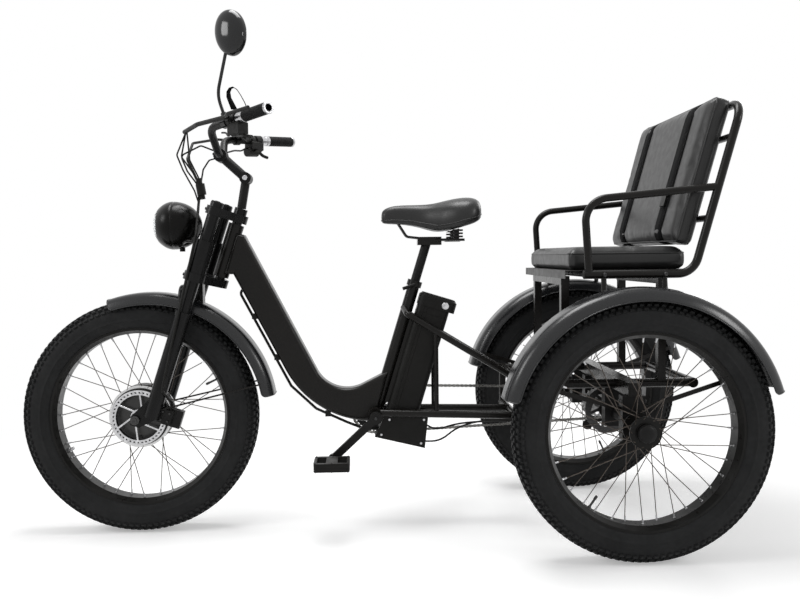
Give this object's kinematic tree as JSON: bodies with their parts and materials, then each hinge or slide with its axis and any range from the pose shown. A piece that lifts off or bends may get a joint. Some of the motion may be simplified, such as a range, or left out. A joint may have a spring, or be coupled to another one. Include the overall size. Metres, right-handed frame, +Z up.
{
  "type": "electric cargo tricycle",
  "caption": "Electric fat-tyre tricycle with a low step-through frame, sprung rider saddle, hub-motor front wheel in a double-crown fork, and a padded rear passenger bench with armrests.",
  "frame": {"origin": "on the ground, half way between the axles, on the centre plane", "axes": "+X to the rear, +Y to the rider's right, +Z up"},
  "size_m": [2.0716, 0.846, 1.4515],
  "materials": {
    "black_paint": "satin powder coat",
    "fender_paint": "dark grey satin metallic",
    "tyre_rubber": "matt rubber",
    "rim_black": "satin black anodised",
    "spoke_steel": "dark plated wire",
    "bright_steel": "brushed steel",
    "dark_alloy": "satin black casting",
    "alloy": "black anodised tube",
    "matte_plastic": "textured moulding",
    "gloss_plastic": "glossy moulding",
    "lamp_glass": "clear lens",
    "mirror_glass": "mirror glass",
    "grip_rubber": "ribbed rubber",
    "black_vinyl": "grained vinyl",
    "grey_sheet": "grey painted sheet"
  },
  "bodies": {
    "frame": {"main_tube": "black_paint", "head_tube": "black_paint", "seat_tube": "black_paint", "rear_stays": "black_paint", "rear_frame": "black_paint", "axle_housings": "dark_alloy", "battery": "matte_plastic", "controller": "matte_plastic", "seat_post": "alloy", "saddle": "black_vinyl", "saddle_frame": "black_paint", "chain": "bright_steel", "rear_fenders": "fender_paint", "fender_stays": "black_paint", "bench_frame": "black_paint", "armrests": "black_paint", "bench_panels": "grey_sheet", "seat_cushion": "black_vinyl", "back_cushion": "black_vinyl", "bench_legs": "black_paint", "rear_caliper": "dark_alloy", "derailleur": "dark_alloy", "frame_lead": "matte_plastic"},
    "steering": {"fork_crowns": "black_paint", "fork_legs": "black_paint", "front_axle": "bright_steel", "stem": "black_paint", "handlebar": "black_paint", "grips": "grip_rubber", "brake_levers": "black_paint", "mirror": "gloss_plastic", "mirror_glass": "mirror_glass", "headlight": "gloss_plastic", "headlight_lens": "lamp_glass", "front_fender": "fender_paint", "front_fender_stays": "black_paint", "front_caliper": "dark_alloy", "bar_controls": "matte_plastic", "bar_cables": "matte_plastic"},
    "front_wheel": {"front_tyre": "tyre_rubber", "front_rim": "rim_black", "front_spokes": "spoke_steel", "hub_motor": "rim_black", "front_rotor": "bright_steel"},
    "rear_drive": {"rear_axle": "bright_steel", "right_tyre": "tyre_rubber", "right_rim": "rim_black", "right_spokes": "spoke_steel", "right_hub": "rim_black", "sprocket": "bright_steel", "rear_rotor": "bright_steel"},
    "left_wheel": {"left_tyre": "tyre_rubber", "left_rim": "rim_black", "left_spokes": "spoke_steel", "left_hub": "rim_black"},
    "crank": {"crankset": "dark_alloy"},
    "left_pedal_body": {"left_pedal": "matte_plastic"},
    "right_pedal_body": {"right_pedal": "matte_plastic"}
  },
  "joints": [
    {"name": "steer", "type": "hinge", "parent": "frame", "child": "steering", "pos_m": [-0.425, 0, 0.822], "axis": [0.314, 0, 0.9494], "range_deg": [-45, 45]},
    {"name": "front_wheel_spin", "type": "hinge", "parent": "steering", "child": "front_wheel", "pos_m": [-0.686, 0, 0.341], "axis": [0, -1, 0], "continuous": true},
    {"name": "rear_axle_spin", "type": "hinge", "parent": "frame", "child": "rear_drive", "pos_m": [0.686, 0, 0.341], "axis": [0, -1, 0], "continuous": true},
    {"name": "left_wheel_spin", "type": "hinge", "parent": "frame", "child": "left_wheel", "pos_m": [0.686, -0.363, 0.341], "axis": [0, -1, 0], "continuous": true},
    {"name": "crank_spin", "type": "hinge", "parent": "frame", "child": "crank", "pos_m": [0, 0, 0.333], "axis": [0, -1, 0], "continuous": true},
    {"name": "left_pedal_spin", "type": "hinge", "parent": "crank", "child": "left_pedal_body", "pos_m": [-0.12514, -0.152, 0.21793], "axis": [0, -1, 0], "continuous": true},
    {"name": "right_pedal_spin", "type": "hinge", "parent": "crank", "child": "right_pedal_body", "pos_m": [0.12514, 0.152, 0.44807], "axis": [0, -1, 0], "continuous": true}
  ]
}
